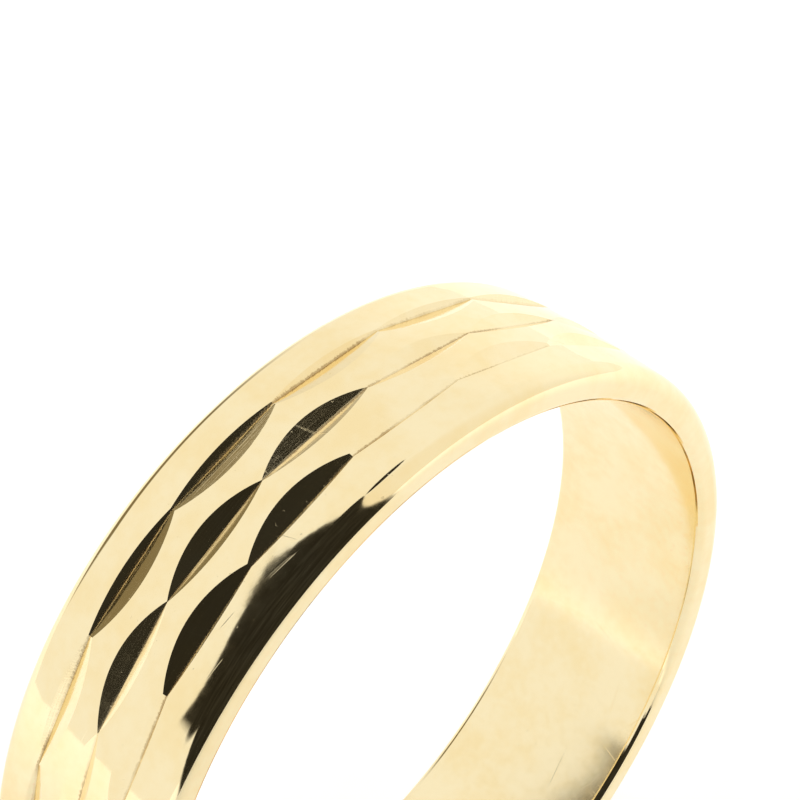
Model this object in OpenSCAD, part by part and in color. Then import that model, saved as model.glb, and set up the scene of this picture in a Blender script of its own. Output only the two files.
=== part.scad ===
// Diamond-cut wedding band.
//
// A strip of gold with a nearly flat, round-shouldered outside is bent round until its
// ends meet, and the joint is closed with a sliver of gold solder. The outside then gets
// three rows of short V cuts, laid end to end round the ring, with the middle row half
// a step out.
//
// Frame: origin at the middle of the bore, finger axis along Y, top of the ring at +Z.
// The front edge of the band faces -Y. Everything is in millimetres.

/* [Ring] */
// Inside diameter, the size of the finger it fits
bore_d = 18.8; // [15:0.1:23]
// Width of the band along the finger
band_w = 5; // [3.5:0.1:8]
// Wall thickness at the middle of the crown
crown_t = 1; // [0.9:0.05:2]
// Wall thickness at the two side edges
edge_t = 0.54; // [0.5:0.02:0.8]
// Radius of the eased edge where the bore meets each side
bore_ease = 0.25; // [0.1:0.05:0.35]

/* [Outside] */
// Radius of the nearly flat crown across the band
crown_r = 30; // [15:1:60]
// Width of the round shoulder between the crown and each side
shoulder_w = 0.4; // [0.36:0.02:0.8]

/* [Cut pattern] */
// Number of cuts in each row round the ring
cuts = 20; // [12:1:30]
// Turn of the two side rows from the top of the ring, in degrees
side_turn = -3; // [-15:0.5:15]
// How far the middle row is stepped on from the side rows, as a share of one cut
mid_step = 0.5; // [0:0.05:1]
// Place of the side rows from the middle of the band
side_y = 1.25; // [1:0.05:1.6]
// Depth left between neighbouring cuts in a side row
side_join = 0.03; // [0:0.005:0.1]
// Slope of the steep outer wall of a side cut, in degrees
side_outer_a = 45; // [30:1:75]
// Slope of the shallow inner wall of a side cut, in degrees
side_inner_a = 19; // [12:1:40]
// Place of the bottom of the middle cuts from the middle of the band
mid_at = -0.08; // [-0.3:0.02:0.3]
// Depth left between neighbouring cuts in the middle row
mid_join = 0.005; // [0:0.005:0.1]
// Slope of the back wall of a middle cut, in degrees
mid_back_a = 16.5; // [12:0.5:40]
// Slope of the front wall of a middle cut, in degrees
mid_front_a = 24; // [12:0.5:40]

/* [Joint] */
// Width of the soldered joint round the ring
seam_w = 0.12; // [0.05:0.01:0.3]
// Turn of the joint from the top of the ring, in degrees
seam_turn = 180; // [0:5:355]

/* [Hidden] */
$fn = 96;

bore_r = bore_d / 2;
half_w = band_w / 2;
crown_half = half_w - shoulder_w;
top_r = bore_r + crown_t;
crown_c = top_r - crown_r;                          // centre of the crown arc
crown_a = asin(crown_half / crown_r);               // slope of the crown at its side
shoulder_a = crown_a + 1.5;                         // slope where the shoulder starts
lap = 0.05;                                         // reach of a shoulder under the crown
shoulder_r0 = crown_c + crown_r * cos(crown_a);     // wall radius where it starts
shoulder_drop = shoulder_r0 - (bore_r + edge_t);
chord_a = atan(shoulder_drop / shoulder_w);
edge_a = 2 * chord_a - shoulder_a;                  // slope at the side edge
shoulder_r = shoulder_w / (sin(edge_a) - sin(shoulder_a));
shoulder_c = shoulder_r0 - shoulder_r * cos(shoulder_a);    // where it is centred

pitch_a = 360 / cuts;
mid_turn = side_turn + mid_step * pitch_a;
cut_len = 4 * top_r * tan(pitch_a / 2);             // long enough to run out at both ends
cut_high = 1;                                       // height of the open V above its bottom

// Outside radius of the uncut crown at a distance y from the middle of the band
function crown_at(y) = crown_c + sqrt(crown_r * crown_r - y * y);

// Wall section, x outward from the finger axis and y along it
module wall_section() {
    difference() {
        intersection() {
            translate([bore_r, -half_w]) square([crown_t + 1, band_w]);
            translate([crown_c, 0]) circle(r = crown_r);
            union() {
                translate([0, -band_w]) square([shoulder_c, 2 * band_w]);
                translate([0, -crown_half + lap])
                    square([top_r + 1, 2 * (crown_half - lap)]);
                for (side = [-1, 1])
                    translate([shoulder_c, side * (crown_half - shoulder_r * sin(shoulder_a))])
                        circle(r = shoulder_r);
            }
        }
        eased_corner();
        mirror([0, 1]) eased_corner();
    }
}

// What is taken off where the bore meets one side of the band
module eased_corner() {
    difference() {
        translate([bore_r - 1, half_w - bore_ease]) square([1 + bore_ease, bore_ease + 1]);
        translate([bore_r + bore_ease, half_w - bore_ease]) circle(r = bore_ease);
    }
}

// Plain ring, before any cut
module plain_ring() {
    rotate([90, 0, 0])
        rotate_extrude()
            wall_section();
}

// One straight V cut across the top of the ring; y is the bottom of the V, join is
// the depth left at its two ends, back_a and front_a are the slopes of its walls
module v_cut(y, join, back_a, front_a) {
    floor_z = crown_at(y) * cos(pitch_a / 2) - join;
    translate([-cut_len / 2, y, floor_z])
        rotate([90, 0, 90])
            linear_extrude(height = cut_len)
                polygon([[0, 0],
                         [cut_high / tan(back_a), cut_high],
                         [-cut_high / tan(front_a), cut_high]]);
}

// All three rows of cuts
module cut_rows() {
    for (i = [0 : cuts - 1]) {
        rotate([0, side_turn + i * pitch_a, 0]) {
            v_cut(side_y, side_join, side_outer_a, side_inner_a);
            v_cut(-side_y, side_join, side_inner_a, side_outer_a);
        }
        rotate([0, mid_turn + i * pitch_a, 0])
            v_cut(mid_at, mid_join, mid_back_a, mid_front_a);
    }
}

// The ring with its cuts, still whole
module cut_ring() {
    difference() {
        plain_ring();
        cut_rows();
    }
}

// Slab that stands where the joint is
module seam_slab() {
    rotate([0, seam_turn, 0])
        translate([-seam_w / 2, -band_w, bore_r - 1])
            cube([seam_w, 2 * band_w, crown_t + 2]);
}

// Gold strip bent round, open where the joint is
module band_strip() {
    color([0.93, 0.78, 0.45])
        difference() {
            cut_ring();
            seam_slab();
        }
}

// Sliver of gold solder that closes the joint
module solder_seam() {
    color([0.90, 0.77, 0.48])
        intersection() {
            cut_ring();
            seam_slab();
        }
}

band_strip();
solder_seam();
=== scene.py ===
# %% [markdown]
# # A diamond-cut gold wedding band
#
# This lesson makes the looks of a plain gold ring with three rows of short V cuts round
# its outside. The ring is two pieces of metal: a strip that is bent round, and the thin
# sliver of solder that closes it. The sizes come from the drawing of the part, which is
# loaded first. Shapes are made in millimetres and brought to metres at the end.

import math

import bmesh
import bpy
from mathutils import Matrix, Vector


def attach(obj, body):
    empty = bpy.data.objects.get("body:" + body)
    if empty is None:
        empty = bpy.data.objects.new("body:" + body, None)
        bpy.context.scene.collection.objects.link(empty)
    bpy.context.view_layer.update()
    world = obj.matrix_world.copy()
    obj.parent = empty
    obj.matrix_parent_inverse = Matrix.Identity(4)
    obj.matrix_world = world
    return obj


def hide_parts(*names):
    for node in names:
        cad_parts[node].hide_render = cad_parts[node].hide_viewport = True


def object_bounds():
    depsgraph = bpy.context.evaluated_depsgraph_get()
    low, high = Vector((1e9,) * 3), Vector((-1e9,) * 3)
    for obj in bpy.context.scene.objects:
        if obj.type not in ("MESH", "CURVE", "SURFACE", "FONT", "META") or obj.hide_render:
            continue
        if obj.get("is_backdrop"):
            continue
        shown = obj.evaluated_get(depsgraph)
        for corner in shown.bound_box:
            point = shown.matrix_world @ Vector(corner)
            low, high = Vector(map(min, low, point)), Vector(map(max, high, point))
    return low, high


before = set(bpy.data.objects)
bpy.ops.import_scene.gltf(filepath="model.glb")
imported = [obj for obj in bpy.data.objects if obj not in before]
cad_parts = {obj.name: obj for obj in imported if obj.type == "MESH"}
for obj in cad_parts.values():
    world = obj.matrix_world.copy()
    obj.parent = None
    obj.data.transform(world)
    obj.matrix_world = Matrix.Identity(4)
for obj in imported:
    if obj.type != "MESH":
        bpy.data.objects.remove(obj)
box_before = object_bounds()
scene = bpy.context.scene
print("parts in the frame:", sorted(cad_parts))

# %% [markdown]
# ## Sizes
#
# The finger goes along Y. Angles round the ring count from the top, +Z, towards +X.
# All the sizes here are in millimetres and degrees.

# %% Sizes
MM = 0.001
BORE_R = 9.4          # inside of the ring
HALF_W = 2.5          # half the width of the band
CROWN_T = 1.0         # wall at the middle of the crown
EDGE_T = 0.54         # wall at the sides
EASE = 0.25           # rounding where the bore meets a side
CROWN_R = 30.0        # the nearly flat crown
SHOULDER_W = 0.4      # the round shoulder beside it
SHOULDER_LAP = 1.5    # degrees by which the shoulder's circle crosses the crown's

CUTS = 20             # cuts in each row
PITCH = 360 / CUTS
SIDE_TURN = -3.0      # where the side rows start
SIDE_Y = 1.25         # their place across the band
SIDE_JOIN = 0.03      # depth left where two of them meet
SIDE_STEEP = 45.0     # slope of their outer wall
SIDE_SHALLOW = 19.0   # slope of their inner wall
MID_Y = -0.08         # the middle row
MID_JOIN = 0.005
MID_BACK = 16.5
MID_FRONT = 24.0
SEAM_W = 0.12         # the soldered joint, at the bottom

STEPS = 480           # flats round the ring, fine enough to look round
MERGE = 1e-4          # points closer than this are one point
TOP_R = BORE_R + CROWN_T
crown_c = TOP_R - CROWN_R
crown_half = HALF_W - SHOULDER_W
crown_a = math.degrees(math.asin(crown_half / CROWN_R))
shoulder_a = crown_a + SHOULDER_LAP
shoulder_top = crown_c + CROWN_R * math.cos(math.radians(crown_a))
chord_a = math.degrees(math.atan2(shoulder_top - BORE_R - EDGE_T, SHOULDER_W))
edge_a = 2 * chord_a - shoulder_a
shoulder_r = SHOULDER_W / (math.sin(math.radians(edge_a))
                           - math.sin(math.radians(shoulder_a)))
shoulder_c = shoulder_top - shoulder_r * math.cos(math.radians(shoulder_a))
shoulder_y = crown_half - shoulder_r * math.sin(math.radians(shoulder_a))
print("shoulder radius", round(shoulder_r, 3), "mm, from", round(shoulder_a, 1),
      "to", round(edge_a, 1), "degrees")

# %% [markdown]
# ## Shader helper
#
# Materials are small sums on sockets. This class wraps one socket, so that a sum reads
# like a sum. Colours and vectors are mixed by nodes made with `node`.


# %% Shader helper
class S:
    def __init__(self, tree, socket):
        self.tree, self.socket = tree, socket

    def node(self, kind, inputs=(), out=0, **settings):
        n = self.tree.nodes.new(kind)
        for key, value in settings.items():
            setattr(n, key, value)
        for key, value in dict(inputs).items():
            if isinstance(value, S):
                self.tree.links.new(value.socket, n.inputs[key])
            else:
                n.inputs[key].default_value = value
        return S(self.tree, n.outputs[out])

    def _math(self, op, *args):
        n = self.tree.nodes.new("ShaderNodeMath")
        n.operation = op
        for i, value in enumerate(args):
            if isinstance(value, S):
                self.tree.links.new(value.socket, n.inputs[i])
            else:
                n.inputs[i].default_value = value
        return S(self.tree, n.outputs[0])

    def __add__(self, o): return self._math("ADD", self, o)
    def __radd__(self, o): return self._math("ADD", o, self)
    def __sub__(self, o): return self._math("SUBTRACT", self, o)
    def __rsub__(self, o): return self._math("SUBTRACT", o, self)
    def __mul__(self, o): return self._math("MULTIPLY", self, o)
    def __rmul__(self, o): return self._math("MULTIPLY", o, self)
    def __truediv__(self, o): return self._math("DIVIDE", self, o)
    def __rtruediv__(self, o): return self._math("DIVIDE", o, self)
    def min(self, o): return self._math("MINIMUM", self, o)
    def max(self, o): return self._math("MAXIMUM", self, o)
    def power(self, o): return self._math("POWER", self, o)
    def hypot(self, o): return (self * self + o * o).power(0.5)
    def turn(self, o): return self._math("ARCTAN2", self, o)

    def rise(self, low, high):
        """0 below low, 1 above high, and a soft slope between them."""
        return self.node("ShaderNodeMapRange", {0: self, 1: low, 2: high},
                         interpolation_type="SMOOTHSTEP")

    def mix(self, a, b):
        """Colour a where this is 0, colour b where it is 1."""
        return self.node("ShaderNodeMix", {0: self, 6: a, 7: b}, out=2,
                         data_type="RGBA")

    def noise(self, vector, scale, detail=2.0, rough=0.5):
        return self.node("ShaderNodeTexNoise",
                         {"Vector": vector, "Scale": scale, "Detail": detail,
                          "Roughness": rough})

    def vec(self, x, y, z):
        return self.node("ShaderNodeCombineXYZ", {0: x, 1: y, 2: z})


def new_material(name):
    """A fresh material, its main shader and its Object coordinates."""
    mat = bpy.data.materials.new(name)
    mat.use_nodes = True
    tree = mat.node_tree
    shader = tree.nodes["Principled BSDF"]
    at = S(tree, tree.nodes.new("ShaderNodeTexCoord").outputs["Object"])
    return mat, tree, shader, at


def feed(tree, shader, name, value):
    """Joins a sum, or sets a constant, on one input of the main shader."""
    if isinstance(value, S):
        tree.links.new(value.socket, shader.inputs[name])
    else:
        shader.inputs[name].default_value = value


# %% [markdown]
# ## Gold
#
# Object coordinates come in metres, so they are turned to millimetres first. Then the
# place round the ring, across it and out from the finger axis are worked out, because
# a ring is polished, worn and cut along those directions.


# %% Gold materials
GOLD = (0.96, 0.82, 0.52, 1)
DEEP_GOLD = (0.94, 0.76, 0.42, 1)
SOLDER_GOLD = (0.93, 0.80, 0.54, 1)
DEEP_SOLDER = (0.90, 0.72, 0.42, 1)
# Painted shade: the dark brown laid along the crease at the bottom of each V cut.
CREASE_SHADE_GOLD = (0.50, 0.35, 0.16, 1)
# Heights of the marks, in millimetres.
WAVE, GRAINY, SCRATCH, PIT = 0.006, 0.0008, 0.0012, 0.0015
TOOL_LINE, CHATTER = 0.0016, 0.0008
# Each set of scratches: its angle to the band, how fine it is and how wide its lines are.
SCRATCH_SETS = ((8, 9.0, -0.03), (-28, 7.0, -0.04), (71, 8.0, -0.04))


def ring_axes(at):
    """Millimetres round the ring, across it, and out from the finger axis."""
    x, y, z = (at.node("ShaderNodeSeparateXYZ", {0: at}, out=i) * (1 / MM)
               for i in range(3))
    return z.turn(x) * TOP_R, y, x.hypot(z)


def scratches(at, round_, across, angle, scale, wide):
    """Fine straight scratches at an angle to the band: 1 on a scratch, 0 off it."""
    c, s = math.cos(math.radians(angle)), math.sin(math.radians(angle))
    along = round_ * c + across * s
    over = across * c - round_ * s
    stretch = 0.035
    line = at.noise(at.vec(over * scale, along * (scale * stretch), 0.3 * angle), 1.0, 1.0)
    keep = at.noise(at.vec(over * 0.9, along * 0.5, 7.0 + angle), 1.0, 1.0)
    return line.rise(0.68 - wide, 0.72 - wide) * keep.rise(0.5, 0.62)


def gold(name, base, deep, rough, wear, cut=0.0):
    """Polished yellow gold. wear is how scratched it is, cut how much tool mark shows."""
    mat, tree, shader, at = new_material(name)
    round_, across, out = ring_axes(at)
    mm = at.vec(round_, across, out)
    cloud = at.noise(mm, 0.55, 3.0)
    fine = at.noise(mm, 3.2, 4.0)
    first, second, third = (scratches(at, round_, across, *each) for each in SCRATCH_SETS)
    lines = first.max(second).max(third)
    pits = at.noise(mm, 9.0, 1.0).rise(0.765, 0.785)
    colour = (cloud * 0.7 + fine * 0.3).rise(0.35, 0.7).mix(base, deep)
    roughness = (rough + fine.rise(0.45, 0.75) * (0.05 * wear)
                 + (lines + pits) * (0.15 * wear))
    height = (cloud * WAVE + fine * (GRAINY * wear)
              - lines * (SCRATCH * wear) - pits * (PIT * wear))
    if cut:
        # The cutter leaves long lines along a cut and finer chatter across it. Along the
        # bottom of each V, painted shade darkens the gold to a browner band with a ragged
        # edge.
        grain = at.noise(at.vec(round_ * 0.3, across * 24.0, out * 24.0), 1.0, 3.0)
        chatter = at.noise(at.vec(round_ * 17.0, across * 3.0, out * 3.0), 1.0, 2.0)
        side = (across * across).power(0.5) - SIDE_Y
        middle = across - MID_Y
        near = (side * side).power(0.5).min((middle * middle).power(0.5))
        ragged = near + (chatter - 0.5) * 0.09 + (grain - 0.5) * 0.05
        # Painted shade in the crease at the bottom of each V, with a ragged edge and patchy
        # strength.
        v_bottom_shade = (1.0 - ragged.rise(0.012, 0.05)) * (0.2 + cloud.rise(0.4, 0.6) * 0.6)
        colour = v_bottom_shade.mix(colour, CREASE_SHADE_GOLD)
        roughness = (roughness + grain.rise(0.5, 0.8) * (0.07 * cut)
                     + v_bottom_shade * (0.25 * cut))
        height = (height + grain * (TOOL_LINE * cut)
                  + chatter * (CHATTER * cut) * (1.0 + v_bottom_shade * 4.0))
    feed(tree, shader, "Base Color", colour)
    feed(tree, shader, "Metallic", 1.0)
    feed(tree, shader, "Roughness", roughness)
    bump = at.node("ShaderNodeBump", {"Strength": 1.0, "Distance": MM, "Height": height})
    feed(tree, shader, "Normal", bump)
    return mat


polished = gold("gold_polished", GOLD, DEEP_GOLD, 0.05, 0.5)
bore_gold = gold("gold_bore", GOLD, DEEP_GOLD, 0.14, 0.5)
cut_gold = gold("gold_cut", GOLD, DEEP_GOLD, 0.09, 0.6, cut=1.0)
solder = gold("gold_solder", SOLDER_GOLD, DEEP_SOLDER, 0.12, 1.0)
print("gold materials:", [m.name for m in (polished, bore_gold, cut_gold, solder)])

# %% [markdown]
# ## The wall of the ring
#
# The wall section is drawn with turned points: a point spun about the centre of an arc
# leaves the arc behind it. The arcs are then joined by straight lines, and the whole
# outline is spun about the finger axis.


# %% Wall section
CROWN_STEPS, SHOULDER_STEPS, EASE_STEPS = 12, 14, 7


def arc(bm, centre, radius, start, end, steps):
    """An arc of the section. Angles count from straight out, towards +Y."""
    a = math.radians(start)
    first = bm.verts.new((0, centre[0] + radius * math.sin(a),
                          centre[1] + radius * math.cos(a)))
    bmesh.ops.spin(bm, geom=[first], cent=(0, *centre), axis=(-1, 0, 0),
                   angle=math.radians(end - start), steps=steps, use_duplicate=False)


def section(bm):
    """The closed outline of the wall, in the plane that stands on the finger axis."""
    arc(bm, (0, crown_c), CROWN_R, -crown_a, crown_a, CROWN_STEPS)
    for side in (-1, 1):
        arc(bm, (side * shoulder_y, shoulder_c), shoulder_r,
            side * shoulder_a, side * edge_a, SHOULDER_STEPS)
        arc(bm, (side * (HALF_W - EASE), BORE_R + EASE), EASE,
            side * 90, side * 180, EASE_STEPS)
    # Taken in order round a point inside the wall, the loose ends pair up across the
    # gaps between the arcs.
    inside = BORE_R + 0.4
    ends = [v for v in bm.verts if len(v.link_edges) == 1]
    ends.sort(key=lambda v: math.atan2(v.co.y, v.co.z - inside))
    for a, b in zip(ends[1::2], ends[2::2] + ends[:1]):
        bm.edges.new((a, b))


bm = bmesh.new()
section(bm)
bmesh.ops.remove_doubles(bm, verts=bm.verts, dist=MERGE)
loose = [v for v in bm.verts if len(v.link_edges) != 2]
print("section:", len(bm.verts), "points,", len(bm.edges), "edges, loose ends:", len(loose))

# %% [markdown]
# The outline goes once round the finger axis and closes on itself. Millimetres are kept
# here because the cuts are easier to set out in them.


# %% Spin the plain ring
def as_object(bm, name, materials=()):
    """Makes an object of a bmesh and links it."""
    mesh = bpy.data.meshes.new(name)
    bm.to_mesh(mesh)
    bm.free()
    for mat in materials:
        mesh.materials.append(mat)
    obj = bpy.data.objects.new(name, mesh)
    scene.collection.objects.link(obj)
    return obj


bmesh.ops.spin(bm, geom=bm.edges[:], cent=(0, 0, 0), axis=(0, 1, 0), angle=math.tau,
               steps=STEPS, use_merge=True, use_duplicate=False)
bmesh.ops.remove_doubles(bm, verts=bm.verts, dist=MERGE)
bmesh.ops.recalc_face_normals(bm, faces=bm.faces)
# Only the faces of the bore lie this close to its radius.
BORE_SKIN = 0.01
for face in bm.faces:
    out = math.hypot(*face.calc_center_median().xz)
    face.material_index = int(out < BORE_R + BORE_SKIN)
open_edges = [e for e in bm.edges if not e.is_manifold]
print("plain ring:", len(bm.faces), "faces, open edges:", len(open_edges))
ring = as_object(bm, "ring", (polished, bore_gold, cut_gold))

# %% [markdown]
# ## The V cuts
#
# Each cut is a straight V across the top of the ring. One V is a block with its two lower
# sides planed off at the slopes of the cutter. The Vs of a row overlap each other, so
# every second one goes into the same cutter, and the row takes two cutters.


# %% V cuts
CUT_LONG, CUT_WIDE, CUT_HIGH = 2.8, 1.5, 0.45    # half sizes of the block


def crown_at(y):
    return crown_c + math.sqrt(CROWN_R * CROWN_R - y * y)


def planed(bm, at, normal):
    """Planes off what is on the side that the normal points to, and closes the face."""
    geom = bm.verts[:] + bm.edges[:] + bm.faces[:]
    bmesh.ops.bisect_plane(bm, geom=geom, plane_co=at, plane_no=normal, clear_outer=True)
    bmesh.ops.holes_fill(bm, edges=[e for e in bm.edges if e.is_boundary])


def v_block(y, join, back, front):
    """One V at the top of the ring, with its bottom at y and join deep at its ends."""
    floor = crown_at(y) * math.cos(math.radians(PITCH / 2)) - join
    bm = bmesh.new()
    bmesh.ops.create_cube(bm, size=2)
    bmesh.ops.scale(bm, verts=bm.verts, vec=(CUT_LONG, CUT_WIDE, CUT_HIGH))
    bmesh.ops.translate(bm, verts=bm.verts, vec=(0, y, floor))
    for slope, way in ((back, 1), (front, -1)):
        a = math.radians(slope)
        planed(bm, (0, y, floor), (0, way * math.sin(a), -math.cos(a)))
    bmesh.ops.recalc_face_normals(bm, faces=bm.faces)
    mesh = bpy.data.meshes.new("v_block")
    bm.to_mesh(mesh)
    bm.free()
    return mesh


side_back = v_block(SIDE_Y, SIDE_JOIN, SIDE_STEEP, SIDE_SHALLOW)
side_front = v_block(-SIDE_Y, SIDE_JOIN, SIDE_SHALLOW, SIDE_STEEP)
middle = v_block(MID_Y, MID_JOIN, MID_BACK, MID_FRONT)


def cutter(name, blocks, turn, first):
    """Every second V of a row, or of two rows side by side."""
    bm = bmesh.new()
    for i in range(first, CUTS, 2):
        for block in blocks:
            old = len(bm.verts)
            bm.from_mesh(block)
            bm.verts.ensure_lookup_table()
            way = Matrix.Rotation(math.radians(turn + i * PITCH), 3, "Y")
            bmesh.ops.rotate(bm, verts=bm.verts[old:], cent=(0, 0, 0), matrix=way)
    return as_object(bm, name, (cut_gold,))


cutters = []
for first in (0, 1):
    cutters.append(cutter("side_cutter_%d" % first, (side_back, side_front),
                          SIDE_TURN, first))
    cutters.append(cutter("middle_cutter_%d" % first, (middle,),
                          SIDE_TURN + PITCH / 2, first))
print("cutters:", [(c.name, len(c.data.polygons)) for c in cutters])

# %% [markdown]
# ## Cutting, and opening the joint
#
# The cutters are taken from the ring one after another. Then a thin slab at the bottom
# divides the metal: what is outside the slab is the strip, and what is inside is solder.


# %% Cut the ring
def carved(source, tools, name):
    """A new object: source after each (way, tool) in turn."""
    work = source.copy()
    work.data = source.data.copy()
    work.name = name
    scene.collection.objects.link(work)
    for way, tool in tools:
        mod = work.modifiers.new(tool.name, "BOOLEAN")
        mod.operation, mod.object, mod.solver = way, tool, "EXACT"
        mod.material_mode = "TRANSFER"
    bpy.context.view_layer.update()
    done = work.evaluated_get(bpy.context.evaluated_depsgraph_get())
    mesh = bpy.data.meshes.new_from_object(done)
    work.modifiers.clear()
    work.data = mesh
    mesh.name = name
    return work


bm = bmesh.new()
bmesh.ops.create_cube(bm, size=1)
SPARE = 2             # the slab reaches past the metal
bmesh.ops.scale(bm, verts=bm.verts, vec=(SEAM_W, 2 * HALF_W + SPARE, CROWN_T + SPARE))
bmesh.ops.translate(bm, verts=bm.verts, vec=(0, 0, -(BORE_R + CROWN_T / 2)))
slab = as_object(bm, "slab", (solder,))

cut_ring = carved(ring, [("DIFFERENCE", c) for c in cutters], "cut_ring")
strip = carved(cut_ring, [("DIFFERENCE", slab)], "gold_strip")
seam = carved(cut_ring, [("INTERSECT", slab)], "solder_joint")
for spare in (ring, cut_ring, slab, *cutters):
    bpy.data.objects.remove(spare)
print("strip:", len(strip.data.polygons), "faces; joint:", len(seam.data.polygons), "faces")

# %% [markdown]
# ## Finish the two pieces
#
# Tiny leftovers of the cutting are merged. Edges that turn by more than a few degrees
# stay crisp, and everything else is shaded smooth. Last, millimetres become metres.


# %% Finish the pieces
SHARP = math.radians(7)
LEFTOVER, SLIVER = 2e-5, 1e-5


def finished(obj, only=None):
    """Cleans a piece and brings it to metres. only is its one material, if it has one."""
    bm = bmesh.new()
    bm.from_mesh(obj.data)
    bmesh.ops.remove_doubles(bm, verts=bm.verts, dist=LEFTOVER)
    bmesh.ops.dissolve_degenerate(bm, edges=bm.edges, dist=SLIVER)
    bmesh.ops.recalc_face_normals(bm, faces=bm.faces)
    if only:
        for face in bm.faces:
            face.material_index = 0
    bmesh.ops.scale(bm, verts=bm.verts, vec=(MM, MM, MM))
    bad = sum(not e.is_manifold for e in bm.edges)
    volume = bm.calc_volume() / MM ** 3
    bm.to_mesh(obj.data)
    bm.free()
    if only:
        obj.data.materials.clear()
        obj.data.materials.append(only)
    obj.data.shade_smooth()
    obj.data.set_sharp_from_angle(angle=SHARP)
    obj.data.calc_loop_triangles()
    print(obj.name, len(obj.data.loop_triangles), "triangles, open edges:", bad,
          "volume", round(volume, 2), "mm3", [m.name for m in obj.data.materials])


finished(strip)
finished(seam, solder)
for piece, node, slot_name in ((strip, "band_strip", "gold"),
                               (seam, "solder_seam", "gold_solder")):
    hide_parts(node)
    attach(piece, "root")

# %% [markdown]
# ## Studio
#
# The ring is shot in a round white tent, through a dark card that stands just behind
# the camera. Polished gold shows the card as its dark areas, so its edges decide the
# picture. Far behind the ring, a low strip of the room is dimmer than the tent.
# Directions are an azimuth, 0 in front of the ring and 90 at its right, and an
# elevation above the horizon, both in degrees.


# %% Tent and card
TENT_R = 0.4
CARD_R = 0.063
BLACK = (0.0, 0.0, 0.0, 1)
TENT_WHITE = (1.0, 1.0, 0.99, 1)
TENT_WARM = (0.97, 0.93, 0.84, 1)
LAMP_WHITE = (1.12, 1.12, 1.1, 1)
ROOM_DIM = (0.24, 0.20, 0.12, 1)
CARD_DARK = (0.020, 0.018, 0.013, 1)
CARD_LESS_DARK = (0.044, 0.043, 0.038, 1)
PATCH_X, PATCH_Y, PATCH_R = 0.118, 0.03, 0.10     # a round dark patch overhead


def directions(at):
    """Azimuth and elevation of a place seen from the middle of the ring, and its x, y."""
    x, y, z = (at.node("ShaderNodeSeparateXYZ", {0: at}, out=i) for i in range(3))
    to_degrees = 180 / math.pi
    return x.turn(y * -1.0) * to_degrees, z.turn(x.hypot(y)) * to_degrees, x, y


def shell(name, radius, mat):
    bm = bmesh.new()
    bmesh.ops.create_uvsphere(bm, u_segments=96, v_segments=48, radius=radius)
    bmesh.ops.reverse_faces(bm, faces=bm.faces)
    obj = as_object(bm, name, (mat,))
    obj.data.shade_smooth()
    obj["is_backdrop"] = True
    return obj


mat, tree, shader, at = new_material("white_tent")
azimuth, elevation, _, _ = directions(at)
lamp = ((azimuth - 55.0).rise(0.0, 30.0) * (150.0 - azimuth).rise(0.0, 30.0)
        * (45.0 - elevation).rise(0.0, 40.0))
warm = azimuth.rise(-20.0, 10.0) * (75.0 - azimuth).rise(0.0, 40.0)
room = (azimuth.rise(146.0, 170.0).max(1.0 - azimuth.rise(-160.0, -152.0))
        * elevation.rise(1.5, 4.0) * (25.0 - elevation).rise(0.0, 4.0))
white = lamp.mix(warm.mix(TENT_WHITE, TENT_WARM), LAMP_WHITE)
feed(tree, shader, "Base Color", BLACK)
feed(tree, shader, "Specular IOR Level", 0.0)
feed(tree, shader, "Emission Color", room.mix(white, ROOM_DIM))
feed(tree, shader, "Emission Strength", 1.0)
shell("tent", TENT_R, mat)

mat, tree, shader, at = new_material("dark_card")
azimuth, elevation, x, y = directions(at)
low_edge = 23.5 - (azimuth + 68.0).max(0.0) * 0.88
right_edge = 21.5 - elevation * 0.34
left_edge = -111.0 - (elevation - 30.0).max(0.0).power(1.75) * 0.062
card = ((elevation - low_edge).rise(-1.5, 1.5) * (right_edge - azimuth).rise(-1.0, 1.0)
        * (azimuth - left_edge).rise(-0.5, 0.5))
above = (x / CARD_R - PATCH_X).hypot(y / CARD_R - PATCH_Y)
card = card.max(1.0 - above.rise(PATCH_R, PATCH_R + 0.01))
mottled = at.noise(at, 110.0, 5.0, 0.7).rise(0.35, 0.75)
dark = mottled.mix(CARD_DARK, CARD_LESS_DARK)
feed(tree, shader, "Base Color", BLACK)
feed(tree, shader, "Specular IOR Level", 0.0)
feed(tree, shader, "Emission Color", dark)
feed(tree, shader, "Emission Strength", 1.0)
feed(tree, shader, "Alpha", card)
dark_card = shell("dark_card", CARD_R, mat)
dark_card.visible_camera = False      # the camera looks through it
print("tent radius", TENT_R, "m; card", CARD_R, "m from the ring")

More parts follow.
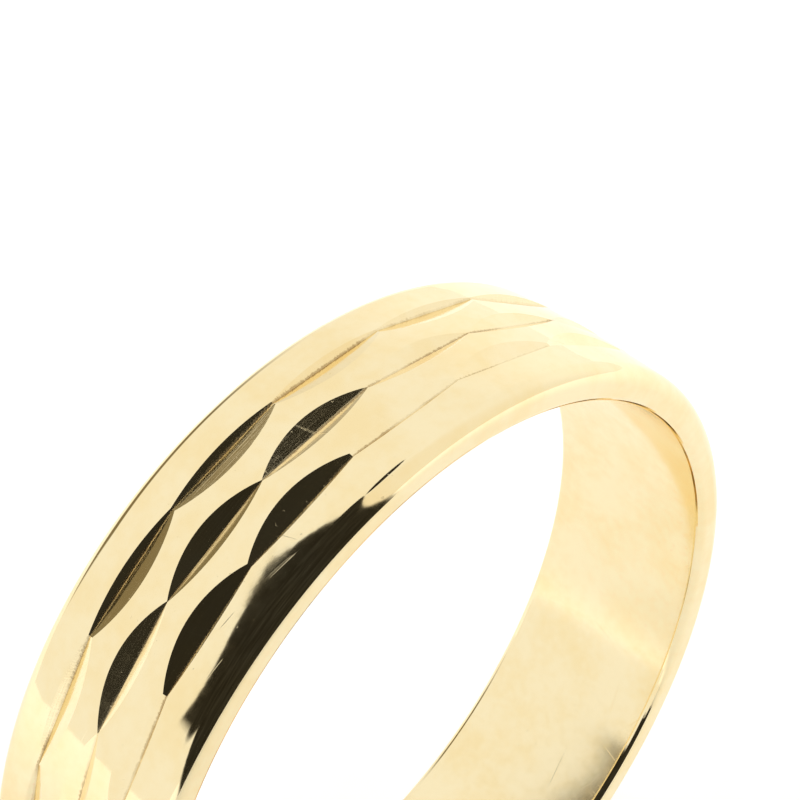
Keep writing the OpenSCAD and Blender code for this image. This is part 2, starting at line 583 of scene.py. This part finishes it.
# %% [markdown]
# The ring stands on a pale sheet that is lit a little from below, so it stays white.

# %% Floor
mat, tree, shader, at = new_material("pale_sheet")
PALE, PALER = (0.60, 0.60, 0.60, 1), (0.62, 0.62, 0.62, 1)
speckle = at.noise(at, 900.0, 2.0).rise(0.3, 0.7)
feed(tree, shader, "Base Color", speckle.mix(PALE, PALER))
feed(tree, shader, "Roughness", 0.9)
feed(tree, shader, "Specular IOR Level", 0.1)
feed(tree, shader, "Emission Color", (1.0, 1.0, 1.0, 1))
feed(tree, shader, "Emission Strength", 0.62)
bm = bmesh.new()
# The sheet stops just short of the tent.
bmesh.ops.create_circle(bm, cap_ends=True, segments=64, radius=TENT_R * 0.98)
bmesh.ops.translate(bm, verts=bm.verts, vec=(0, 0, -TOP_R * MM))
floor = as_object(bm, "floor", (mat,))
floor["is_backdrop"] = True

# %% [markdown]
# ## Camera
#
# A long lens looks down on the front left of the ring, close enough to fill the frame.

# %% Camera
AZIMUTH, ELEVATION = -45.57, 40.60                 # the way back to the camera
EYE = Vector((-27.485, -27.490, 42.957)) * MM
cam_data = bpy.data.cameras.new("camera")
cam_data.lens, cam_data.sensor_width = 103.5, 36.0
cam_data.clip_start, cam_data.clip_end = 0.001, 2.0
camera = bpy.data.objects.new("camera", cam_data)
scene.collection.objects.link(camera)
a, e = math.radians(AZIMUTH), math.radians(ELEVATION)
back = Vector((math.sin(a) * math.cos(e), -math.cos(a) * math.cos(e), math.sin(e)))
camera.location = EYE
camera.rotation_mode = "QUATERNION"
camera.rotation_quaternion = back.to_track_quat("Z", "Y")
scene.camera = camera

world = bpy.data.worlds.new("studio")
world.use_nodes = True
world.node_tree.nodes["Background"].inputs["Color"].default_value = (0.9, 0.9, 0.9, 1)
scene.world = world
scene.view_settings.view_transform = "Standard"
print("camera:", [round(v / MM, 2) for v in camera.location], "mm")

# %% Size and finish
boxes = {"cad": [list(c) for c in box_before], "scene": [list(c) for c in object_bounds()]}
for name, box in boxes.items():
    print(name, "box in mm:", [[round(v / MM, 3) for v in corner] for corner in box])
